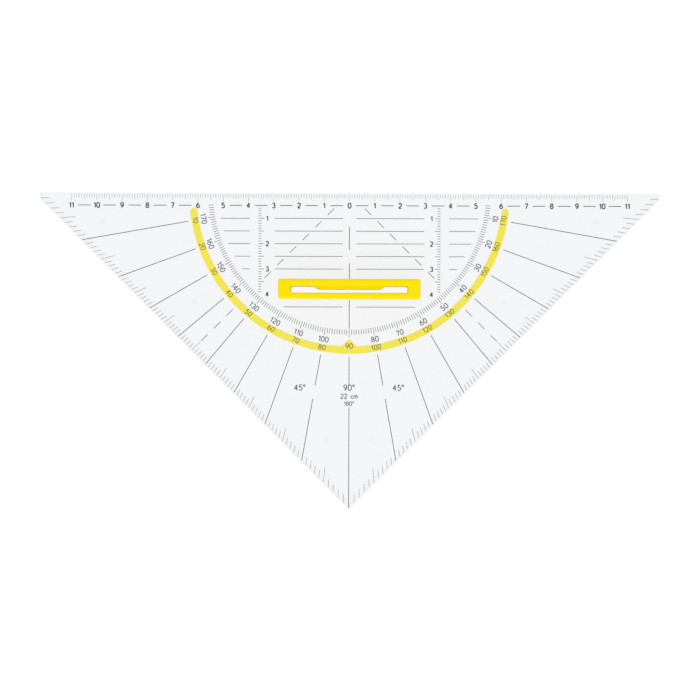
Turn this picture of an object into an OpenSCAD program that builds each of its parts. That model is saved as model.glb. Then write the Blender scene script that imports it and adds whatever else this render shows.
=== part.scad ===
// Protractor set square with a clip-in grip, in millimetres.
// The frame: the zero mark in the middle of the long edge is x = 0, y = 0, the long edge runs along X,
// the right-angled corner points to -Y, and the plate lies flat with its feet on z = 0.
// A depth is a distance below the long edge, so a point at depth d has y = -d.

/* [Plate] */
// Length of the long edge, up to the corners that it would have with sharp tips
long_edge = 250; // [235:1:270]
// Length cut off each sharp tip, along the long edge
tip_cut = 2.5; // [1:0.5:4]
// Thickness of the clear plate
plate_t = 2; // [1.6:0.1:3]
// Height of the round feet that keep the printed side off wet ink
foot_h = 0.3; // [0.2:0.05:0.5]
// Diameter of a foot
foot_d = 2; // [1.5:0.5:3.5]

/* [Grip] */
// Length of the grip
grip_l = 56; // [50:0.5:60]
// Width of the grip
grip_w = 7.8; // [7.5:0.1:9]
// Height of the grip above the plate
grip_h = 9; // [7:0.5:14]
// Clear distance between the grip and the ring of degree marks, along the centre line
grip_ring_clear = 12.1; // [9:0.1:15]
// Radius of the upright corners
grip_corner_r = 0.8; // [0.4:0.1:1.2]
// Radius of the rounded top edges
grip_top_r = 1; // [0.4:0.1:1]
// Radius of the hollow for the fingertips along each long side
finger_r = 5; // [4:0.5:8]
// Depth of that hollow
finger_depth = 0.5; // [0.3:0.1:0.7]
// Distance from the ends of the grip to the hollow
finger_margin = 1.6; // [1:0.1:4]
// Length of the solid ends of the grip, outside the slit that lets the long walls be squeezed together
end_wall = 5; // [4:0.1:7]
// Width of the slit
slit_w = 2.5; // [2.3:0.1:3]
// How far the slit lies from the middle of the grip, towards the right-angled corner
slit_offset = 0.25; // [0:0.05:0.3]
// Length of the stop that keeps the walls from being squeezed too far
stop_l = 28.6; // [20:0.2:34]
// How far the stop stands into the slit
stop_t = 1.1; // [0.6:0.1:1.4]
// Length of the slope at each end of the stop
stop_slope = 2; // [1:0.5:3]
// Distance from the top of the grip down to the stop
stop_drop = 1.5; // [0.5:0.5:3]
// Width of the ledge of the grip that rests on the plate, along its long sides
ledge_side = 1.25; // [1:0.05:1.4]
// Width of that ledge at the ends
ledge_end = 2.3; // [1.5:0.1:3]
// Play between the plug of the grip and the opening in the plate, on each side
plug_play = 0.08; // [0.05:0.01:0.1]

/* [Printing] */
// Thickness of the printed layers under the plate
ink_t = 0.1; // [0.06:0.02:0.14]
// Width of the marks of the millimetre scale along the long edge
edge_mark_w = 0.1; // [0.08:0.01:0.2]
// Width of the marks of the ring and the depth scales, and of the dashes between the numerals
mark_w = 0.2; // [0.15:0.01:0.25]
// Width of the parallel lines
parallel_line_w = 0.28; // [0.2:0.02:0.3]
// Width of the rays, the centre line, the dashed lines and the marks along the legs
line_w = 0.34; // [0.26:0.02:0.4]
// Distance from the cut edges of the plate to the first ink
ink_inset = 0.4; // [0.2:0.1:0.6]

/* [Straight scales] */
// The unit of the straight scales
centimetre = 10; // [9.5:0.1:10.5]
// Least distance from the last centimetre mark to the blunt tip
scale_end = 12; // [11:0.5:20]
// Depth to which the millimetre marks reach
mm_mark_depth = 1.9; // [1.6:0.1:2.2]
// Depth to which the half centimetre marks reach
half_mark_depth = 2.5; // [2.2:0.1:2.8]
// Depth to which the centimetre marks reach
cm_mark_depth = 3.2; // [2.8:0.1:3.3]
// Depth of the middle of the row of numerals
numeral_row_depth = 4.9; // [4.6:0.1:5.2]
// Length of the dashes between the numerals
row_dash_l = 5; // [4:0.2:6]
// Length of the outer parallel lines at the depth of one centimetre
outer_line_l = 11.6; // [10:0.1:13]
// Length of the millimetre marks of the depth scales
depth_mark_l = 1.2; // [0.8:0.1:1.6]
// How much longer the half centimetre marks are, towards the middle
depth_mark_more = 1; // [0.6:0.1:1.2]
// Distance from the middle to the inner ends of the parallel lines
parallel_start = 2.7; // [2:0.1:4]
// Room for the numerals between the inner parallel lines and a depth scale
numeral_room = 5.2; // [4.5:0.1:6]
// Clear distance between a depth scale and the outer parallel lines
depth_scale_clear = 3.4; // [2:0.1:5]
// Least distance from the last parallel line to the ends of the others, at the centre line
last_line_clear = 6.5; // [5.5:0.5:10]

/* [Protractor] */
// Least distance from the coloured band to the legs of the plate
band_to_leg = 24.9; // [22:0.1:27]
// Length of the degree marks in the ring
ring_mark_l = 2; // [1.6:0.1:2.2]
// How much longer the ten degree marks are, outwards
ring_mark_more = 1; // [0.6:0.1:1.2]
// Clear distance between the ring and the lines inside it
ring_clear = 2; // [1.5:0.1:3]
// Clear distance between the ring and the coloured band, where numerals stand
band_clear = 4.6; // [4:0.1:5]
// Width of the coloured band
band_w = 2.9; // [2.5:0.1:3.3]
// Clear distance between the round ends of the band and the row of dashes
band_end_clear = 0.9; // [0.4:0.1:1.4]
// Clear distance between the peak of the band and the ninety degree mark
peak_clear = 0.9; // [0.5:0.1:1.4]
// Width of that peak where it meets the band
peak_w = 6; // [4:0.2:7]
// Radius of the tip of the peak
peak_r = 0.9; // [0.6:0.1:1.1]
// Clear distance from the band to the rays
ray_clear = 1.3; // [1:0.1:2]

/* [Leg scales] */
// Distance from a leg to the inner ends of the degree marks
leg_mark_depth = 2.8; // [2.2:0.1:3.2]
// Distance from a leg to the inner ends of the five degree marks
leg_five_depth = 5; // [4.2:0.1:6]

/* [Dashed lines] */
// Length of a dash of the lines at 45 degrees
dash_l = 3.6; // [3:0.1:4]
// How far the dashes lie from halfway between two parallel lines, towards the zero mark
dash_shift = 0.3; // [0:0.1:0.5]

/* [Centre line] */
// Length of the stretch between the band and the bare place below it
centre_lower_l = 11.2; // [9:0.2:14]
// Length of the bare place, where no line runs
bare_l = 8.6; // [6:0.2:12]
// Length of the gap that the two steepest rays have there
bare_ray_l = 5.4; // [4:0.2:8]

/* [Hidden] */

$fn = 64;

// Half of the long edge is also the depth of the right-angled corner
half_edge = long_edge / 2;
tip_x = half_edge - tip_cut;
plate_bottom = foot_h;
plate_top = plate_bottom + plate_t;
millimetre = centimetre / 10;
half_cm = centimetre / 2;

// Cuts run past the faces that they open by one ink layer
overrun = ink_t;

// The last centimetre on each side of the zero mark
last_cm = floor((tip_x - scale_end) / centimetre);

// The plug is what is left of the grip's outline inside its ledge
plug_l = grip_l - 2 * ledge_end;
plug_w = grip_w - 2 * ledge_side;
slit_l = grip_l - 2 * end_wall;

// The band keeps its distance from the legs, and its peak points to the ninety degree mark
band_r = half_edge / sqrt(2) - band_to_leg - band_w;
band_mid_r = band_r + band_w / 2;
band_end_depth = numeral_row_depth + mark_w / 2 + band_end_clear + band_w / 2;
peak_h = band_clear - ring_mark_more - peak_clear;

// The ring lies inside the band, the rays start outside it, and the inner lines stay inside the ring
ring_r = band_r - band_clear - ring_mark_l;
ray_r = band_r + band_w + ray_clear;
inside_r = ring_r - ring_clear;

// Depth of the middle of the grip
grip_depth = ring_r - grip_ring_clear - grip_w / 2;

// The depth scales stand between the outer parallel lines and the numerals next to the inner ones
parallel_restart = inside_x(centimetre) - outer_line_l;
depth_scale_x = parallel_restart - depth_scale_clear - depth_mark_l;
parallel_end = depth_scale_x - numeral_room;
half_turn = 180;
right_angle = 90;

// The rays stand at every tenth degree, and the steepest ones are next to the centre line
ray_step = 10;
steepest = right_angle - ray_step;

// The ring starts in the row of numerals
ring_first = floor(asin(numeral_row_depth / ring_r));
ring_last = half_turn - ring_first;

// The diagonals repeat their dashes at every half centimetre of depth
diagonal_angle = right_angle / 2;
dash_pitch = half_cm / sin(diagonal_angle);
dash_start = (centimetre + half_cm) / 2 / sin(diagonal_angle) - dash_shift;

// Feet near the tip and the corner, on the right half: x and depth as shares of half the long edge
foot_shares = [[0.78, 0.09], [0.07, 0.78]];

// The middle feet stand halfway between two rays: their angle as a share of the step from ray to ray
middle_foot_share = 3.5;
foot_angle = middle_foot_share * ray_step;

// Where the centre line runs, as shares of the way from the row of numerals to the grip
centre_shares = [[0.29, 0.6], [0.78, 0.99]];

CLEAR = [0.86, 0.9, 0.95, 0.35];
INK = [0.3, 0.3, 0.33];
YELLOW = [1, 0.89, 0.02];
BAND_YELLOW = [0.98, 0.9, 0.2];

// A flat rectangle with rounded corners, centred on the origin
module rounded_rectangle(l, w, r) {
    square([l - 2 * r, w], center = true);
    square([l, w - 2 * r], center = true);
    for (x = [-1, 1], y = [-1, 1])
        translate([x * (l / 2 - r), y * (w / 2 - r)]) circle(r = r);
}

// The outline of a bar seen from the side: it stands on the X axis and its upper corners are rounded
module rounded_top(l, h, r) {
    translate([-l / 2, 0]) square([l, h - r]);
    translate([-l / 2 + r, 0]) square([l - 2 * r, h]);
    for (x = [-1, 1]) translate([x * (l / 2 - r), h - r]) circle(r = r);
}

// A printed layer: its child is an outline seen from above, and its upper side lies on the plate
module printed() {
    translate([0, 0, plate_bottom - ink_t]) linear_extrude(ink_t) children();
}

// A printed line along the ray at an angle below the long edge, between two radii
module ray(angle, from_r, to_r, w) {
    rotate(-angle) translate([from_r, -w / 2]) square([to_r - from_r, w]);
}

// Where a ray meets the line that runs inside the leg and the blunt tip at a distance
function leg_r(angle, inside) =
    let (tilt = abs(right_angle - angle))
    min(
        (half_edge - inside * sqrt(2)) / (sin(tilt) + cos(tilt)),
        (tip_x - inside) / sin(tilt)
    );

// How far along a line at a depth the circle that the inner lines keep to is
function inside_x(depth) = sqrt(pow(inside_r, 2) - pow(depth, 2));

// The plate, with its opening for the plug of the grip
module plate() {
    color(CLEAR) difference() {
        translate([0, 0, plate_bottom]) linear_extrude(plate_t)
            polygon([
                [-tip_x, 0], [tip_x, 0], [tip_x, -tip_cut], [0, -half_edge], [-tip_x, -tip_cut]
            ]);
        translate([0, -grip_depth, plate_bottom - overrun])
            linear_extrude(plate_t + 2 * overrun)
                rounded_rectangle(plug_l + 2 * plug_play, plug_w + 2 * plug_play, grip_corner_r);
    }
}

// The raised dots that the plate stands on: the middle ones lie halfway from the band to a leg
module feet() {
    middle_r = (ray_r + leg_r(foot_angle, leg_five_depth)) / 2;
    middle = [middle_r * cos(foot_angle), middle_r * sin(foot_angle)];
    color(CLEAR)
        for (side = [-1, 1], place = concat(foot_shares * half_edge, [middle]))
            translate([side * place[0], -place[1], 0]) cylinder(d = foot_d, h = foot_h);
}

// The stop: a low rib on the inside of the wall next to the long edge, with sloping ends
module squeeze_stop() {
    translate([0, slit_w / 2, 0])
        polygon([
            [-stop_l / 2, overrun], [-stop_l / 2, 0], [-stop_l / 2 + stop_slope, -stop_t],
            [stop_l / 2 - stop_slope, -stop_t], [stop_l / 2, 0], [stop_l / 2, overrun]
        ]);
}

// The grip: one moulding that rests on the plate by its ledge, with its plug in the plate's opening
module grip() {
    color(YELLOW) translate([0, -grip_depth, 0]) {
        difference() {
            union() {
                translate([0, 0, plate_top]) intersection() {
                    linear_extrude(grip_h) rounded_rectangle(grip_l, grip_w, grip_corner_r);
                    rotate([90, 0, 0]) linear_extrude(grip_w, center = true)
                        rounded_top(grip_l, grip_h, grip_top_r);
                    rotate([90, 0, 90]) linear_extrude(grip_l, center = true)
                        rounded_top(grip_w, grip_h, grip_top_r);
                }
                translate([0, 0, plate_bottom]) linear_extrude(plate_t + overrun)
                    rounded_rectangle(plug_l, plug_w, grip_corner_r);
            }
            translate([0, -slit_offset, plate_bottom - overrun])
                linear_extrude(plate_t + grip_h + 2 * overrun)
                    rounded_rectangle(slit_l, slit_w, grip_corner_r);
            for (side = [-1, 1])
                translate([0, side * (grip_w / 2 + finger_r - finger_depth), plate_top + grip_h / 2])
                    rotate([0, 90, 0]) cylinder(r = finger_r, h = grip_l - 2 * finger_margin, center = true);
        }
        translate([0, -slit_offset, plate_bottom])
            linear_extrude(plate_t + grip_h - stop_drop) squeeze_stop();
    }
}

// The millimetre scale along the long edge
module edge_scale() {
    color(INK) printed()
        for (i = [-last_cm * 10 : last_cm * 10]) {
            reach = i % 10 == 0 ? cm_mark_depth : i % 5 == 0 ? half_mark_depth : mm_mark_depth;
            translate([i * millimetre - edge_mark_w / 2, -reach]) square([edge_mark_w, reach - ink_inset]);
        }
}

// The dashes in the row of numerals, with none where the protractor's ring starts
module row_dashes() {
    color(INK) printed()
        for (side = [-1, 1], i = [0 : last_cm - 1])
            if (abs(i * centimetre + half_cm - ring_r) > half_cm)
                translate([side * (i * centimetre + half_cm), -numeral_row_depth])
                    square([row_dash_l, mark_w], center = true);
}

// One depth scale: marks every millimetre from below the row of numerals down to the ring
module depth_scale(side) {
    outer_x = depth_scale_x + depth_mark_l;
    first = ceil((numeral_row_depth + millimetre) / millimetre);
    last = floor((sqrt(pow(ring_r, 2) - pow(outer_x, 2)) - millimetre) / millimetre);
    color(INK) printed()
        for (i = [first : last]) {
            l = i % 5 == 0 ? depth_mark_l + depth_mark_more : depth_mark_l;
            translate([side * (outer_x - l / 2), -i * millimetre]) square([l, mark_w], center = true);
        }
}

module depth_scale_left() depth_scale(-1);

module depth_scale_right() depth_scale(1);

// A printed line at a depth between two distances from the middle, on both sides
module mirrored_line(depth, from_x, to_x) {
    for (side = [-1, 1])
        translate([side * (from_x + to_x) / 2, -depth])
            square([to_x - from_x, parallel_line_w], center = true);
}

// Depths of the parallel lines: every half centimetre from the first centimetre, except under the grip
parallel_depths = [
    for (i = [2 : floor((inside_r - last_line_clear) / half_cm)])
        if (abs(i * half_cm - grip_depth) > grip_w / 2 + parallel_line_w) i * half_cm
];

// The parallel lines between the depth scales
module parallel_lines_inner() {
    color(INK) printed()
        for (depth = parallel_depths)
            mirrored_line(depth, parallel_start, min(parallel_end, inside_x(depth)));
}

// The parallel lines between the depth scales and the ring
module parallel_lines_outer() {
    color(INK) printed()
        for (depth = parallel_depths)
            if (inside_x(depth) > parallel_restart)
                mirrored_line(depth, parallel_restart, inside_x(depth));
}

// The line from the zero mark to the right-angled corner, in stretches
module centre_line() {
    way = grip_depth - grip_w / 2 - numeral_row_depth;
    grip_bottom = grip_depth + grip_w / 2;
    bare = ray_r + centre_lower_l;
    color(INK) printed() {
        for (shares = centre_shares)
            ray(right_angle, numeral_row_depth + shares[0] * way, numeral_row_depth + shares[1] * way,
                line_w);
        ray(right_angle, grip_bottom + line_w, ring_r - line_w, line_w);
        ray(right_angle, ray_r, bare, line_w);
        ray(right_angle, bare + bare_l, leg_r(right_angle, ink_inset), line_w);
    }
}

// One dashed line at 45 degrees, which the ring and the band interrupt
module diagonal(side) {
    inner = floor((inside_r - dash_start - dash_l / 2) / dash_pitch);
    outer = ceil((ray_r - dash_start + dash_l / 2) / dash_pitch);
    last = floor((leg_r(diagonal_angle, leg_five_depth) - dash_start - dash_l / 2) / dash_pitch);
    angle = side > 0 ? diagonal_angle : half_turn - diagonal_angle;
    color(INK) printed()
        for (i = concat([for (k = [0 : inner]) k], [for (k = [outer : last]) k]))
            ray(angle, dash_start + i * dash_pitch - dash_l / 2,
                dash_start + i * dash_pitch + dash_l / 2, line_w);
}

module diagonal_left() diagonal(-1);

module diagonal_right() diagonal(1);

// The ring of degree marks
module protractor_ring() {
    color(INK) printed()
        for (angle = [ring_first : ring_last]) {
            l = angle % ray_step == 0 ? ring_mark_l + ring_mark_more : ring_mark_l;
            ray(angle, ring_r, ring_r + l, mark_w);
        }
}

// The coloured band, with round ends and a peak at ninety degrees whose sides touch its round tip
module protractor_band() {
    end_angle = asin(band_end_depth / band_mid_r);
    peak_centre = band_r - peak_h + peak_r;
    side_drop = band_r - peak_centre;
    side_l = sqrt(pow(peak_w / 2, 2) + pow(side_drop, 2));
    touch = acos(peak_r / side_l) - atan2(side_drop, peak_w / 2);
    touch_x = peak_r * cos(touch);
    touch_depth = peak_centre - peak_r * sin(touch);
    color(BAND_YELLOW) translate([0, 0, plate_bottom - ink_t]) {
        rotate([0, 0, end_angle - half_turn])
            rotate_extrude(angle = half_turn - 2 * end_angle, $fn = 128)
                translate([band_r, 0]) square([band_w, ink_t]);
        for (angle = [end_angle, half_turn - end_angle])
            rotate([0, 0, -angle]) translate([band_mid_r, 0, 0]) cylinder(d = band_w, h = ink_t);
        linear_extrude(ink_t) {
            translate([0, -peak_centre]) circle(r = peak_r);
            polygon([
                [-peak_w / 2, -band_mid_r], [-peak_w / 2, -band_r], [-touch_x, -touch_depth],
                [touch_x, -touch_depth], [peak_w / 2, -band_r], [peak_w / 2, -band_mid_r]
            ]);
        }
    }
}

// The rays from the band to one leg, the steepest with a gap at the bare place
module rays(side) {
    gap_r = (ray_r + centre_lower_l) / sin(steepest);
    color(INK) printed() {
        for (angle = [ray_step : ray_step : steepest])
            ray(side > 0 ? angle : half_turn - angle, ray_r,
                angle == steepest ? gap_r : leg_r(angle, ink_inset), line_w);
        ray(side > 0 ? steepest : half_turn - steepest, gap_r + bare_ray_l,
            leg_r(steepest, ink_inset), line_w);
    }
}

module rays_left() rays(-1);

module rays_right() rays(1);

// The degree marks along one leg, all pointing to the zero mark
module leg_scale(side) {
    color(INK) printed()
        for (angle = [1 : right_angle - 1])
            if (angle % ray_step != 0)
                ray(side > 0 ? angle : half_turn - angle,
                    leg_r(angle, angle % 5 == 0 ? leg_five_depth : leg_mark_depth),
                    leg_r(angle, ink_inset), line_w);
}

module leg_scale_left() leg_scale(-1);

module leg_scale_right() leg_scale(1);

feet();
grip();
edge_scale();
row_dashes();
depth_scale_left();
depth_scale_right();
parallel_lines_inner();
parallel_lines_outer();
centre_line();
diagonal_left();
diagonal_right();
protractor_ring();
protractor_band();
rays_left();
rays_right();
leg_scale_left();
leg_scale_right();
// The clear plate comes last, so that a preview shows what is printed under it
plate();
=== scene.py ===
# %% [markdown]
# # A clear set square with a yellow grip
# The object is a drawing set square: a clear acrylic plate with black and yellow printing on its
# underside, and a yellow grip that clips into an opening of the plate. Its solids come from the
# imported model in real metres. This script dresses them: it lights them and gives each one its
# finish, breaks the sharp edges of the plate, rounds the slit of the grip, draws the lines in
# their printed widths and adds the printed numerals, which are too fine for the solids.

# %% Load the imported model
import math

import bpy
from mathutils import Matrix, Vector


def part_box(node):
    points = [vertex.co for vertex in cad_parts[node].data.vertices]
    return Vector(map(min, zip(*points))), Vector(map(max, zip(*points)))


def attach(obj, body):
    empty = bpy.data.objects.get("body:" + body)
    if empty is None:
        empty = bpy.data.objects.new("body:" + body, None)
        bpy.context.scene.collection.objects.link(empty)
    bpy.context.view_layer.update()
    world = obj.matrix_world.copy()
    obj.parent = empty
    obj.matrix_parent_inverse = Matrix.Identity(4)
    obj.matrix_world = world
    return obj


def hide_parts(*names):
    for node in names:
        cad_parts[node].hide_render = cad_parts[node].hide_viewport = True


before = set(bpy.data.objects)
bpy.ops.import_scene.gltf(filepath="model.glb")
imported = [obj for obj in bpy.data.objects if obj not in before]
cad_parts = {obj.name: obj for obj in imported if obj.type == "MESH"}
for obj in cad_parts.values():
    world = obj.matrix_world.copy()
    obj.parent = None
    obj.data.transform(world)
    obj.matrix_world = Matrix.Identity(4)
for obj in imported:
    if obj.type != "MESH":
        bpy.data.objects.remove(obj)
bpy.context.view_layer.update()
scene = bpy.context.scene
MM = 0.001
print("solids:", sorted(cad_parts))

# %% [markdown]
# ## Camera
# The photograph looks straight down on the square, which lies turned by a sixth of a degree. Its
# printed centimetres measure 2.51 pixels per millimetre along the long edge and about 2.57 across
# it. The camera shows both with 2.525, so 700 pixels show 277 mm. The walls of the grip hardly
# show, so the camera is far off with a long lens. The length of the lens follows from the distance,
# the width that shows and the size of the sensor.

# %% Camera
PIXELS_PER_MM = 2.525
IMAGE_PIXELS = 700
CAMERA_HEIGHT = 1200 * MM
VIEW_CENTRE = (0.35 * MM, -62.0 * MM)
PHOTO_TURN = 0.17
SENSOR_MM = 36
seen_width = IMAGE_PIXELS / PIXELS_PER_MM * MM

camera_data = bpy.data.cameras.new("camera")
camera_data.sensor_width = SENSOR_MM
camera_data.lens = SENSOR_MM * CAMERA_HEIGHT / seen_width
camera = bpy.data.objects.new("camera", camera_data)
scene.collection.objects.link(camera)
camera.location = (*VIEW_CENTRE, CAMERA_HEIGHT)
camera.rotation_euler = (0, 0, math.radians(PHOTO_TURN))
scene.camera = camera
scene.view_settings.view_transform = "Standard"
print("lens", round(camera_data.lens, 1), "mm shows", round(seen_width / MM), "mm")

# %% [markdown]
# ## Node helpers
# A colour is written as the hex value that a picture would show, and one function turns it into
# the linear value that shaders use. Its numbers are those of the sRGB standard. One more function
# adds a node with its settings and its links, so that each material below reads as a short list.


# %% Node helpers
def linear(hex_colour):
    channels = [int(hex_colour[i : i + 2], 16) / 255 for i in (1, 3, 5)]
    return [c / 12.92 if c <= 0.04045 else ((c + 0.055) / 1.055) ** 2.4 for c in channels] + [1]


def add_node(tree, kind, settings=None, inputs=None, links=None):
    node = tree.nodes.new(kind)
    for name, value in (settings or {}).items():
        setattr(node, name, value)
    for name, value in (inputs or {}).items():
        node.inputs[name].default_value = value
    for name, source in (links or {}).items():
        tree.links.new(source, node.inputs[name])
    return node


def new_material(name):
    material = bpy.data.materials.new(name)
    material.use_nodes = True
    material.node_tree.nodes.clear()
    return material, material.node_tree


print("white is", linear("#FFFFFF"))

# %% [markdown]
# ## Floor
# The product photograph has a pure white ground. A white board lies under the square, a hair below
# its feet. More light would make the board pure white too, but it would also wash out the object.
# So what the camera sees of the board, directly or through the clear plate, is mostly its own
# white, and a smaller part is lit, so that it keeps a soft shadow. Seen through the plate, that own
# white is painted a little darker, as painted shade for the light that reaches the board only
# through the plate. All other rays see a plain white board.

# %% Floor
FLOOR_SIZE = 4.0
FLOOR_Z = -0.05 * MM
BOARD_WHITE = "#F0F0F0"
OWN_WHITE = 0.93
LIT_WHITE = 0.11
# Painted shade under the plate: the board's glow seen through the plate drops by this much.
PAINTED_SHADE_UNDER_PLATE = 0.07
bpy.ops.object.select_all(action="DESELECT")
bpy.ops.mesh.primitive_plane_add(size=FLOOR_SIZE, location=(0, 0, FLOOR_Z))
floor = bpy.context.object
floor.name = "floor"
board, tree = new_material("white board")
path = add_node(tree, "ShaderNodeLightPath")
seen = path.outputs["Is Camera Ray"]
for way in ("Is Transmission Ray", "Is Glossy Ray"):
    either = add_node(
        tree, "ShaderNodeMath", {"operation": "MAXIMUM"}, links={0: seen, 1: path.outputs[way]}
    )
    seen = either.outputs[0]
plain = add_node(tree, "ShaderNodeBsdfDiffuse", inputs={"Color": linear(BOARD_WHITE)})
lit = add_node(
    tree, "ShaderNodeBsdfDiffuse", inputs={"Color": (LIT_WHITE, LIT_WHITE, LIT_WHITE, 1)}
)
# Painted shade: seen through the plate, the board's glow is made darker by this amount.
under = add_node(
    tree, "ShaderNodeMath", {"operation": "MULTIPLY_ADD"}, {1: -PAINTED_SHADE_UNDER_PLATE, 2: OWN_WHITE},
    {0: path.outputs["Is Transmission Ray"]},
)
glow = add_node(tree, "ShaderNodeEmission", links={"Strength": under.outputs[0]})
shown = add_node(tree, "ShaderNodeAddShader", links={0: lit.outputs[0], 1: glow.outputs[0]})
mixed = add_node(
    tree, "ShaderNodeMixShader", links={0: seen, 1: plain.outputs[0], 2: shown.outputs[0]}
)
add_node(tree, "ShaderNodeOutputMaterial", links={"Surface": mixed.outputs[0]})
floor.data.materials.append(board)
print("floor is", FLOOR_SIZE, "m wide")

# %% [markdown]
# ## Light
# The photograph has the even light of a copy stand: a white world from all sides, and a wide lamp
# on the side of the right-angled corner, because the rims of the grip that face there are the
# brighter ones. The lamp stands where the plate can't mirror it into the camera. Together they
# light a surface that faces up to about the value its colour is written with.

# %% Light
WORLD_STRENGTH = 0.82
LAMP_STRENGTH = 0.7
LAMP_WIDTH = 45
LAMP_TILT = 40
world = bpy.data.worlds.new("studio")
scene.world = world
world.use_nodes = True
background = world.node_tree.nodes["Background"]
background.inputs["Color"].default_value = (1, 1, 1, 1)
background.inputs["Strength"].default_value = WORLD_STRENGTH

lamp_data = bpy.data.lights.new("wide lamp", "SUN")
lamp_data.energy = LAMP_STRENGTH
lamp_data.angle = math.radians(LAMP_WIDTH)
lamp = bpy.data.objects.new("wide lamp", lamp_data)
lamp.rotation_euler = (math.radians(LAMP_TILT), 0, 0)
scene.collection.objects.link(lamp)
print("world", WORLD_STRENGTH, "and lamp", LAMP_STRENGTH)

# %% [markdown]
# ## Clear acrylic
# The plate is cast acrylic, which is PMMA: its refractive index is 1.49 and its faces are polished,
# so the eye sees paper and print through it, and faint mirror images on it. Years of sliding on
# paper leave fine scratches, which could be cut into the faces, but a stretched noise on the
# roughness gives the same faint haze. They are 4 mm long and coarser than real ones, which would
# be too fine to show.

# %% Clear acrylic
ACRYLIC_IOR = 1.49
ACRYLIC_TINT = "#F9FAFB"
SCRATCH_LENGTH = 4 * MM
SCRATCH_STRETCH = (1, 6, 1)
SCRATCH_DETAIL = 6
SCRATCH_FINENESS = 0.7
POLISH_ENDS = 0.5
SCRATCH_DEEPEST = 0.8
SCRATCH_ROUGHNESS = 0.06
acrylic, tree = new_material("cast acrylic, clear")
place = add_node(tree, "ShaderNodeTexCoord")
wipes = add_node(
    tree, "ShaderNodeMapping", inputs={"Scale": SCRATCH_STRETCH},
    links={"Vector": place.outputs["Object"]},
)
scuffs = add_node(
    tree, "ShaderNodeTexNoise",
    inputs={
        "Scale": 1 / SCRATCH_LENGTH, "Detail": SCRATCH_DETAIL, "Roughness": SCRATCH_FINENESS,
    },
    links={"Vector": wipes.outputs[0]},
)
haze = add_node(
    tree, "ShaderNodeMapRange",
    inputs={
        "From Min": POLISH_ENDS, "From Max": SCRATCH_DEEPEST,
        "To Min": 0.0, "To Max": SCRATCH_ROUGHNESS,
    },
    links={"Value": scuffs.outputs["Fac"]},
)
clear = add_node(
    tree, "ShaderNodeBsdfPrincipled",
    inputs={
        "Base Color": linear(ACRYLIC_TINT), "IOR": ACRYLIC_IOR, "Transmission Weight": 1.0,
    },
    links={"Roughness": haze.outputs[0]},
)
print("polished up to", POLISH_ENDS, "of the noise")

# %% [markdown]
# ## Light through the acrylic
# A real plate lets nearly all light pass to the paper and back. The renderer blurs light that it
# sends through glass, and would lose half of it. So lamps shine straight through this plate, and
# so does the light that comes back from paper and print, as if the plate weren't there for them.
# The eye still sees glass.

# %% Light through the acrylic
PASSING_TINT = "#FEFEFF"
passing = add_node(
    tree, "ShaderNodeBsdfTransparent", inputs={"Color": linear(PASSING_TINT)}
)
path = add_node(tree, "ShaderNodeLightPath")
straight = add_node(
    tree, "ShaderNodeMath", {"operation": "MAXIMUM"},
    links={0: path.outputs["Is Shadow Ray"], 1: path.outputs["Is Diffuse Ray"]},
)
mixed = add_node(
    tree, "ShaderNodeMixShader",
    links={0: straight.outputs[0], 1: clear.outputs[0], 2: passing.outputs[0]},
)
add_node(tree, "ShaderNodeOutputMaterial", links={"Surface": mixed.outputs[0]})
print("acrylic:", len(tree.nodes), "nodes")

# %% [markdown]
# ## Milled edge
# The cut edges of the plate are milled, not polished, so light can't enter them cleanly and they
# look like pale frost. Rough glass would show the same, but it renders slowly and with noise, so
# a pale solid finish stands for it. The cutter leaves upright marks about 0.4 mm apart, which a
# noise stretched along the height gives to the colour and the bump.

# %% Milled edge
CUT_SPACING = 0.4 * MM
CUT_STRETCH = (1, 1, 0.05)
CUT_DETAIL = 2
CUT_DEPTH = 0.03 * MM
CUT_STRENGTH = 0.3
FROST_ROUGHNESS = 0.4
milled_edge, tree = new_material("cast acrylic, milled edge")
place = add_node(tree, "ShaderNodeTexCoord")
upright = add_node(
    tree, "ShaderNodeMapping", inputs={"Scale": CUT_STRETCH},
    links={"Vector": place.outputs["Object"]},
)
cuts = add_node(
    tree, "ShaderNodeTexNoise", inputs={"Scale": 1 / CUT_SPACING, "Detail": CUT_DETAIL},
    links={"Vector": upright.outputs[0]},
)
tone = add_node(tree, "ShaderNodeValToRGB", links={"Fac": cuts.outputs["Fac"]})
tone.color_ramp.elements[0].color = linear("#D3DBDF")
tone.color_ramp.elements[1].color = linear("#E6EBED")
grooves = add_node(
    tree, "ShaderNodeBump", inputs={"Strength": CUT_STRENGTH, "Distance": CUT_DEPTH},
    links={"Height": cuts.outputs["Fac"]},
)
frosted = add_node(
    tree, "ShaderNodeBsdfPrincipled",
    inputs={"Roughness": FROST_ROUGHNESS, "IOR": ACRYLIC_IOR},
    links={"Base Color": tone.outputs["Color"], "Normal": grooves.outputs[0]},
)
add_node(tree, "ShaderNodeOutputMaterial", links={"Surface": frosted.outputs[0]})
print("milled edge:", len(tree.nodes), "nodes")

# %% [markdown]
# ## Printing inks
# The lines and the band are screen printed on the underside of the plate. Black printing ink is
# matt and slightly mottled where the screen left a little more or less of it. The yellow is a
# strong process yellow, also matt. One function makes both, because only the colours and the size
# of the mottle differ.


# %% Printing inks
INK_ROUGHNESS = 0.55
MOTTLE_DETAIL = 3
THIN_UP_TO = 0.35
THICK_FROM = 0.65
BLACK_MOTTLE = 0.4 * MM
YELLOW_MOTTLE = 1.5 * MM


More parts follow.
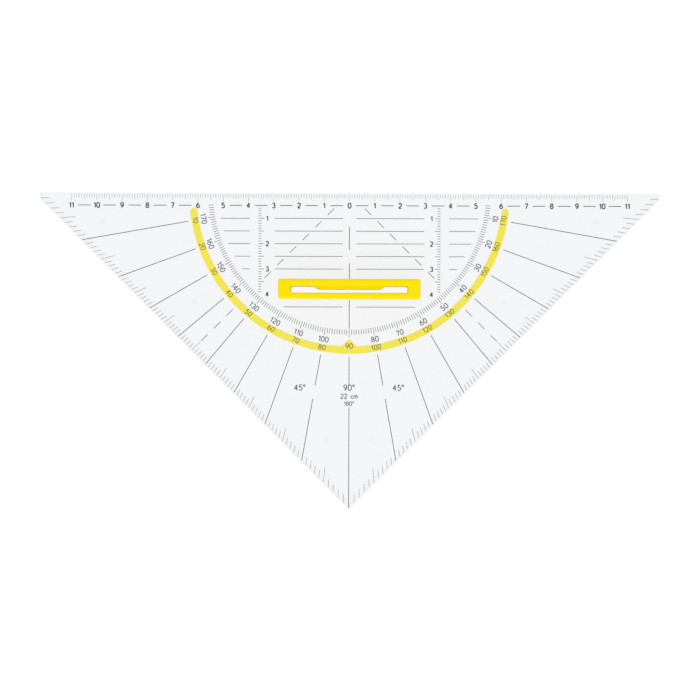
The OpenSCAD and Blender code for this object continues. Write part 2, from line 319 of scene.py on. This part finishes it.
def printing_ink(name, thin, thick, mottle_size):
    ink, tree = new_material(name)
    place = add_node(tree, "ShaderNodeTexCoord")
    mottle = add_node(
        tree, "ShaderNodeTexNoise", inputs={"Scale": 1 / mottle_size, "Detail": MOTTLE_DETAIL},
        links={"Vector": place.outputs["Object"]},
    )
    tone = add_node(tree, "ShaderNodeValToRGB", links={"Fac": mottle.outputs["Fac"]})
    tone.color_ramp.elements[0].color = linear(thin)
    tone.color_ramp.elements[1].color = linear(thick)
    tone.color_ramp.elements[0].position = THIN_UP_TO
    tone.color_ramp.elements[1].position = THICK_FROM
    film = add_node(
        tree, "ShaderNodeBsdfPrincipled", inputs={"Roughness": INK_ROUGHNESS},
        links={"Base Color": tone.outputs["Color"]},
    )
    add_node(tree, "ShaderNodeOutputMaterial", links={"Surface": film.outputs[0]})
    return ink


black_ink = printing_ink("screen printing ink, black", "#3C3C42", "#2A2A2E", BLACK_MOTTLE)
yellow_ink = printing_ink("screen printing ink, yellow", "#FDEF0C", "#FCED06", YELLOW_MOTTLE)
print("inks:", black_ink.name, "and", yellow_ink.name)

# %% [markdown]
# ## Yellow grip plastic
# The grip is injection moulded ABS in a strong yellow. Its mould was lightly etched, so the skin
# has a fine, soft texture and little gloss. Where the plastic flowed, the yellow varies a little.
# Some light travels inside the plastic, red further than blue, which keeps its shaded walls golden
# instead of brown. A plain diffuse yellow would look like paint.

# %% Yellow grip plastic
ABS_IOR = 1.54
ABS_ROUGHNESS = 0.45
ABS_GLOSS = 0.05
LIGHT_INSIDE = 0.25
LIGHT_REACH = 2 * MM
REACH_BY_COLOUR = (1.0, 0.75, 0.1)
FLOW_SIZE = 9 * MM
FLOW_DETAIL = 2
ETCH_SIZE = 0.25 * MM
ETCH_DETAIL = 2
ETCH_DEPTH = 0.02 * MM
ETCH_STRENGTH = 0.15
yellow_plastic, tree = new_material("moulded ABS, yellow")
place = add_node(tree, "ShaderNodeTexCoord")
flow = add_node(
    tree, "ShaderNodeTexNoise", inputs={"Scale": 1 / FLOW_SIZE, "Detail": FLOW_DETAIL},
    links={"Vector": place.outputs["Object"]},
)
tone = add_node(tree, "ShaderNodeValToRGB", links={"Fac": flow.outputs["Fac"]})
tone.color_ramp.elements[0].color = linear("#FFE400")
tone.color_ramp.elements[1].color = linear("#FFE800")
etch = add_node(
    tree, "ShaderNodeTexNoise", inputs={"Scale": 1 / ETCH_SIZE, "Detail": ETCH_DETAIL},
    links={"Vector": place.outputs["Object"]},
)
skin = add_node(
    tree, "ShaderNodeBump", inputs={"Strength": ETCH_STRENGTH, "Distance": ETCH_DEPTH},
    links={"Height": etch.outputs["Fac"]},
)
moulded = add_node(
    tree, "ShaderNodeBsdfPrincipled",
    inputs={
        "Roughness": ABS_ROUGHNESS, "IOR": ABS_IOR, "Specular IOR Level": ABS_GLOSS,
        "Subsurface Weight": LIGHT_INSIDE, "Subsurface Radius": REACH_BY_COLOUR,
        "Subsurface Scale": LIGHT_REACH,
    },
    links={"Base Color": tone.outputs["Color"], "Normal": skin.outputs[0]},
)
add_node(tree, "ShaderNodeOutputMaterial", links={"Surface": moulded.outputs[0]})
print("grip plastic:", len(tree.nodes), "nodes")

# %% [markdown]
# ## Dress the solids
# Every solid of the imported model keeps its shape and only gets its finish. The table names the
# few that aren't printed in black, and all others get the black ink.

# %% Dress the solids
FINISHES = {
    "plate": acrylic, "feet": acrylic, "grip": yellow_plastic, "protractor_band": yellow_ink,
}
for name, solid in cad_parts.items():
    finish = FINISHES.get(name, black_ink)
    solid.data.materials.clear()
    solid.data.materials.append(finish)
    print(name, "gets", finish.name)

# %% [markdown]
# ## Copies of solids
# Some pieces below start as a copy of a solid and take its place, because a solid itself is never
# changed. The copy drops the stored normals, and its loose triangles are merged and dissolved into
# whole faces, so that a bevel can run along an edge.


# %% Copies of solids
SAME_PLACE = 0.001 * MM
FLAT = math.radians(0.5)


def work_on(pieces):
    bpy.ops.object.select_all(action="DESELECT")
    for piece in pieces:
        piece.select_set(True)
    bpy.context.view_layer.objects.active = pieces[0]


def copied(name, node_name):
    piece = bpy.data.objects.new(name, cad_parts[node_name].data.copy())
    scene.collection.objects.link(piece)
    work_on([piece])
    bpy.ops.mesh.customdata_custom_splitnormals_clear()
    bpy.ops.object.mode_set(mode="EDIT")
    bpy.ops.mesh.select_all(action="SELECT")
    bpy.ops.mesh.remove_doubles(threshold=SAME_PLACE)
    bpy.ops.mesh.dissolve_limited(angle_limit=FLAT)
    bpy.ops.mesh.normals_make_consistent(inside=False)
    bpy.ops.mesh.faces_shade_flat()
    bpy.ops.object.mode_set(mode="OBJECT")
    return piece


print("same place:", SAME_PLACE, "m")


# %% [markdown]
# ## The plate with broken edges
# A sawn acrylic plate has its sharp edges broken, and the fine bevels catch the light. Both faces
# of this piece lie 0.03 mm inside the solid's, because a face of glass in one plane with ink or
# with the grip would hide their light. A bevel modifier breaks every edge at once, since all of
# them are broken alike. The walls get the milled finish, and the two faces and the start of each
# bevel stay polished.

# %% The plate with broken edges
EDGE_BREAK = 0.12 * MM
BREAK_STEPS = 2
BREAK_ANGLE = math.radians(40)
FACE_GAP = 0.03 * MM
WALL_TILT = 0.5
POLISHED, MILLED = 0, 1
plate_low, plate_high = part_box("plate")
clear_plate = copied("clear_plate", "plate")
squeeze = 1 - 2 * FACE_GAP / (plate_high.z - plate_low.z)
middle = Vector((0, 0, (plate_low.z + plate_high.z) / 2))
clear_plate.data.transform(
    Matrix.Translation(middle)
    @ Matrix.Diagonal((1, 1, squeeze, 1))
    @ Matrix.Translation(-middle)
)
bevel = clear_plate.modifiers.new("broken edges", "BEVEL")
bevel.width = EDGE_BREAK
bevel.segments = BREAK_STEPS
bevel.limit_method = "ANGLE"
bevel.angle_limit = BREAK_ANGLE
bevel.use_clamp_overlap = False
bpy.ops.object.modifier_apply(modifier=bevel.name)
clear_plate.data.materials.append(milled_edge)
for face in clear_plate.data.polygons:
    face.material_index = MILLED if abs(face.normal.z) < WALL_TILT else POLISHED
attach(clear_plate, "set_square")
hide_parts("plate")
print("clear_plate has", len(clear_plate.data.polygons), "faces")

# %% [markdown]
# ## The grip with a rounded slit
# A moulding has no sharp rim where fingers press, so the rim of the slit gets a radius. In the
# photograph it shows as a darker line on the sides that face away from the lamp. The outer edges
# of the grip are round already, so the sharp edges at its full height are those of the slit. The
# piece is shaded smooth, except where two faces meet at more than 20 degrees, as at the borders
# of the finger hollows.

# %% The grip with a rounded slit
SLIT_ROUND = 0.8 * MM
SLIT_STEPS = 6
ROUND_PROFILE = 0.5
RIM_ANGLE = math.radians(60)
CRISP_ANGLE = math.radians(20)
grip_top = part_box("grip")[1].z
clip_grip = copied("clip_grip", "grip")
bpy.ops.object.mode_set(mode="EDIT")
bpy.ops.mesh.select_mode(type="EDGE")
bpy.ops.mesh.select_all(action="DESELECT")
bpy.ops.mesh.edges_select_sharp(sharpness=RIM_ANGLE)
bpy.ops.object.mode_set(mode="OBJECT")
mesh = clip_grip.data
heights = [point.co.z for point in mesh.vertices]
sharp = [edge for edge in mesh.edges if edge.select]
for part in (*mesh.vertices, *mesh.edges, *mesh.polygons):
    part.select = False
for edge in sharp:
    edge.select = min(heights[i] for i in edge.vertices) > grip_top - SAME_PLACE
bpy.ops.object.mode_set(mode="EDIT")
bpy.ops.mesh.bevel(
    offset=SLIT_ROUND, segments=SLIT_STEPS, profile=ROUND_PROFILE, affect="EDGES", loop_slide=False
)
bpy.ops.object.mode_set(mode="OBJECT")
for face in clip_grip.data.polygons:
    face.use_smooth = True
clip_grip.data.set_sharp_from_angle(angle=CRISP_ANGLE)
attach(clip_grip, "handle")
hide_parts("grip")
print("clip_grip has", len(clip_grip.data.polygons), "faces")

# %% [markdown]
# ## Printed widths of the lines
# The scales and the ring come out as dark as in the photograph. The other groups of lines were
# measured too, and are redrawn in the width that gives them the photograph's darkness: the marks
# along the legs, the rays, the centre line and the dashed and parallel lines finer, the dashes
# between the numerals bolder. A fainter ink would look the same from afar, but a real print has
# one ink and different pens.

# %% Printed widths of the lines
# For each node of lines: the name of its piece, the width of its solid lines and the printed
# width, both in mm
PRINTED_WIDTHS = {
    "leg_scale_left": ("leg_marks_left", 0.34, 0.14),
    "leg_scale_right": ("leg_marks_right", 0.34, 0.14),
    "rays_left": ("ray_lines_left", 0.34, 0.27),
    "rays_right": ("ray_lines_right", 0.34, 0.27),
    "centre_line": ("middle_line", 0.34, 0.27),
    "diagonal_left": ("slanting_dashes_left", 0.34, 0.25),
    "diagonal_right": ("slanting_dashes_right", 0.34, 0.25),
    "parallel_lines_inner": ("parallels_inner", 0.28, 0.22),
    "parallel_lines_outer": ("parallels_outer", 0.28, 0.22),
    "row_dashes": ("row_lines", 0.2, 0.29),
}
print("redrawn groups:", len(PRINTED_WIDTHS))

# %% [markdown]
# ## Redrawn lines
# Each piece is a copy of its solids. It is separated into its single lines, and each line is
# turned in thought until it lies along X, grows or shrinks along Y, and is turned back. So it
# keeps its middle, its direction and its length, and only its width changes. Then the lines are
# joined again. The longest edge of a line gives its direction.


# %% Redrawn lines
def span(mesh, edge):
    first, last = (mesh.vertices[i].co for i in edge.vertices)
    return last - first


def redrawn(name, node_name, growth):
    piece = copied(name, node_name)
    bpy.ops.mesh.separate(type="LOOSE")
    for line in bpy.context.selected_objects:
        mesh = line.data
        along = max((span(mesh, edge) for edge in mesh.edges), key=lambda way: way.length)
        turn = Matrix.Rotation(math.atan2(along.y, along.x), 4, "Z")
        points = [point.co for point in mesh.vertices]
        to_middle = Matrix.Translation(sum(points, Vector()) / len(points))
        wider = Matrix.Diagonal((1, growth, 1, 1))
        mesh.transform(to_middle @ turn @ wider @ turn.inverted() @ to_middle.inverted())
    bpy.ops.object.join()
    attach(piece, "set_square")
    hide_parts(node_name)
    print(name, "has", len(piece.data.polygons), "faces")


for node_name, (name, solid_width, printed_width) in PRINTED_WIDTHS.items():
    redrawn(name, node_name, printed_width / solid_width)

# %% [markdown]
# ## Strokes of the numerals
# The numerals of drawing tools follow the lettering standard for technical drawings: round strokes
# of one width, as an engraving pen makes them. Blender's own font has other shapes, so each digit
# is drawn here from straight and round strokes. An arc is given by its centre, its two radii and
# the angles where it starts and ends, and a bend by its ends and the point between them that
# pulls it.


# %% Strokes of the numerals
def arc(x, y, rx, ry, start, end, steps=10):
    angles = [math.radians(start + (end - start) * i / steps) for i in range(steps + 1)]
    return [(x + rx * math.cos(a), y + ry * math.sin(a)) for a in angles]


def bend(first, pull, last, steps=8):
    shares = [i / steps for i in range(steps + 1)]
    return [
        tuple(
            (1 - s) ** 2 * a + 2 * s * (1 - s) * b + s * s * c
            for a, b, c in zip(first, pull, last)
        )
        for s in shares
    ]


print("a full turn:", len(arc(0, 0, 1, 1, 0, 360)), "points")

# %% [markdown]
# ## Digits and letters
# Each sign is written as its width and its strokes, on a height of 1. Only the signs that stand
# on this square are drawn.

# %% Digits and letters
GLYPHS = {
    "0": (0.56, [
        arc(0.28, 0.7, 0.28, 0.3, 0, 180) + arc(0.28, 0.3, 0.28, 0.3, 180, 360) + [(0.56, 0.7)],
    ]),
    "1": (0.3, [[(0.0, 0.78), (0.24, 1.0)], [(0.24, 1.0), (0.24, 0.0)]]),
    "2": (0.56, [
        arc(0.28, 0.72, 0.28, 0.28, 165, -30) + [(0.0, 0.0)],
        [(0.0, 0.0), (0.57, 0.0)],
    ]),
    "3": (0.56, [
        arc(0.27, 0.76, 0.24, 0.24, 150, -90),
        arc(0.27, 0.26, 0.29, 0.26, 90, -150),
    ]),
    "4": (0.6, [
        [(0.42, 0.0), (0.42, 1.0)],
        [(0.42, 1.0), (0.0, 0.28)],
        [(0.0, 0.28), (0.6, 0.28)],
    ]),
    "5": (0.56, [
        [(0.5, 1.0), (0.09, 1.0)],
        [(0.09, 1.0), (0.06, 0.52)],
        arc(0.26, 0.31, 0.3, 0.31, 132, -150),
    ]),
    "6": (0.56, [
        bend((0.44, 1.0), (0.0, 0.75), (0.0, 0.31)),
        arc(0.28, 0.3, 0.28, 0.3, 0, 360, 18),
    ]),
    "7": (0.54, [[(0.0, 1.0), (0.54, 1.0)], [(0.54, 1.0), (0.18, 0.0)]]),
    "8": (0.56, [
        arc(0.28, 0.765, 0.23, 0.235, 0, 360, 16),
        arc(0.28, 0.27, 0.28, 0.27, 0, 360, 18),
    ]),
    "9": (0.56, [
        bend((0.12, 0.0), (0.56, 0.25), (0.56, 0.69)),
        arc(0.28, 0.7, 0.28, 0.3, 0, 360, 18),
    ]),
    "°": (0.28, [arc(0.14, 0.86, 0.14, 0.14, 0, 360, 12)]),
    "c": (0.42, [arc(0.25, 0.32, 0.25, 0.32, 48, 312)]),
    "m": (0.72, [
        [(0.0, 0.0), (0.0, 0.64)],
        arc(0.18, 0.44, 0.18, 0.2, 180, 0) + [(0.36, 0.0)],
        arc(0.54, 0.44, 0.18, 0.2, 180, 0) + [(0.72, 0.0)],
    ]),
    " ": (0.4, []),
}
LETTER_GAP = 0.26
print("glyphs:", "".join(GLYPHS))

# %% [markdown]
# ## One numeral
# Each stroke becomes a curve with a round profile as wide as the pen, which gives round ends and
# corners as a real pen does. The curve is made a mesh, and the mesh is pressed flat to the
# thickness of a film of ink. Its place goes into the mesh itself. The film ends between the top
# of the printed lines and the underside of the plate.

# %% One numeral
PEN = 0.17
BOLD_PEN = 0.25
PEN_ROUNDING = 1
CLOSED_WITHIN = 0.01
HALF_HEIGHT = 0.5
FILM = 0.04 * MM
PRINT_Z = plate_low.z + FACE_GAP / 2 - FILM / 2


def numeral(words, height, x, y, turn=0.0, pen=PEN):
    width = sum(GLYPHS[c][0] for c in words) + LETTER_GAP * (len(words) - 1)
    curve = bpy.data.curves.new("strokes", "CURVE")
    curve.dimensions = "3D"
    curve.bevel_depth = pen / 2
    curve.bevel_resolution = PEN_ROUNDING
    curve.use_fill_caps = True
    start = -width / 2
    for c in words:
        for stroke in GLYPHS[c][1]:
            spline = curve.splines.new("POLY")
            closed = math.dist(stroke[0], stroke[-1]) < CLOSED_WITHIN * pen
            points = stroke[:-1] if closed else stroke
            spline.use_cyclic_u = closed
            spline.points.add(len(points) - 1)
            for point, (px, py) in zip(spline.points, points):
                point.co = (start + px, py - HALF_HEIGHT, 0, 1)
        start += GLYPHS[c][0] + LETTER_GAP
    piece = bpy.data.objects.new("numeral", curve)
    scene.collection.objects.link(piece)
    work_on([piece])
    bpy.ops.object.convert(target="MESH")
    piece = bpy.context.object
    grow = height / (1 + pen)
    piece.data.transform(
        Matrix.Translation((x, y, PRINT_Z))
        @ Matrix.Rotation(turn, 4, "Z")
        @ Matrix.Diagonal((grow, grow, FILM / pen, 1))
    )
    return piece


print("numerals are printed at", round(PRINT_Z / MM, 3), "mm")

# %% [markdown]
# ## A group of numerals
# All numerals that belong together are joined into one piece, which is printed in black and moves
# with the plate.


# %% A group of numerals
def joined(name, numerals):
    work_on(numerals)
    bpy.ops.object.join()
    group = bpy.context.object
    group.name = group.data.name = name
    group.data.materials.clear()
    group.data.materials.append(black_ink)
    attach(group, "set_square")
    print(name, "has", len(group.data.polygons), "faces")


CM = 10 * MM
print("a centimetre is", CM, "m")

# %% [markdown]
# ### The row along the edge
# The centimetres count from the zero mark to both sides, and stand in the row of dashes. They are
# printed bolder than the other numerals, because they are read first.

# %% The row along the edge
ROW_HEIGHT = 2.4 * MM
LAST_CM = 11
dashes_low, dashes_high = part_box("row_dashes")
row_y = (dashes_low.y + dashes_high.y) / 2
joined("edge_numerals", [
    numeral(str(abs(cm)), ROW_HEIGHT, cm * CM, row_y, pen=BOLD_PEN)
    for cm in range(-LAST_CM, LAST_CM + 1)
])

# %% [markdown]
# ### The depth scales
# Beside each depth scale, the numerals 1 to 4 give the distance from the long edge.

# %% The depth scales
DEPTH_HEIGHT = 2.2 * MM
BESIDE_SCALE = 1.3 * MM
LAST_DEPTH_CM = 4
depth_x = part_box("depth_scale_right")[0].x - BESIDE_SCALE
joined("depth_numerals", [
    numeral(str(cm), DEPTH_HEIGHT, side * depth_x, -cm * CM, pen=BOLD_PEN)
    for side in (-1, 1)
    for cm in range(1, LAST_DEPTH_CM + 1)
])

# %% [markdown]
# ### The protractor
# Every tenth degree has two numerals, one that counts from the right and one that counts from the
# left. Their tops point to the zero mark. The inner row stands on clear acrylic, the outer row on
# the yellow band, and 90 stands alone on the peak of the band.

# %% The protractor
BAND_WIDTH = 2.9 * MM
RING_HEIGHT = 2.3 * MM
BAND_HEIGHT = 2.2 * MM
INSIDE_BAND = 2.0 * MM
ABOVE_BAND_MIDDLE = 0.2 * MM
UP_THE_PEAK = 1.4 * MM
PEAK_ANGLE, HALF_TURN, ANGLE_STEP = 90, 180, 10


def on_arc(words, angle, radius, height):
    bearing = math.radians(angle)
    x, y = radius * math.cos(bearing), -radius * math.sin(bearing)
    return numeral(words, height, x, y, turn=math.radians(PEAK_ANGLE - angle))


band_outer = -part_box("protractor_band")[0].y
ring_radius = band_outer - BAND_WIDTH - INSIDE_BAND
band_radius = band_outer - BAND_WIDTH / 2 - ABOVE_BAND_MIDDLE
angles = [a for a in range(ANGLE_STEP, HALF_TURN, ANGLE_STEP) if a != PEAK_ANGLE]
joined("ring_numerals", [on_arc(str(a), a, ring_radius, RING_HEIGHT) for a in angles])
joined("band_numerals", [
    *(on_arc(str(HALF_TURN - a), a, band_radius, BAND_HEIGHT) for a in angles),
    on_arc(str(PEAK_ANGLE), PEAK_ANGLE, band_radius - UP_THE_PEAK, BAND_HEIGHT),
])

# %% [markdown]
# ### Numbers above the corner
# The place between the lower rays holds the three angles of the square, the length of its scale
# and the range of its protractor: plain numbers that any such square could carry.

# %% Numbers above the corner
# Words, height, place across and place from the long edge, in mm
CORNER_WORDS = [
    ("45°", 2.5, -19.5, -76.9),
    ("90°", 2.5, 0, -76.9),
    ("45°", 2.5, 19.5, -76.9),
    ("22 cm", 2.1, 0, -80.3),
    ("180°", 1.8, 0, -83.2),
]
joined("corner_numbers", [
    numeral(words, height * MM, x * MM, y * MM) for words, height, x, y in CORNER_WORDS
])

# %% [markdown]
# ## Clear the selection
# No object is left selected. The dressed part must stay inside the box of the solids.

# %% Clear the selection
bpy.ops.object.select_all(action="DESELECT")
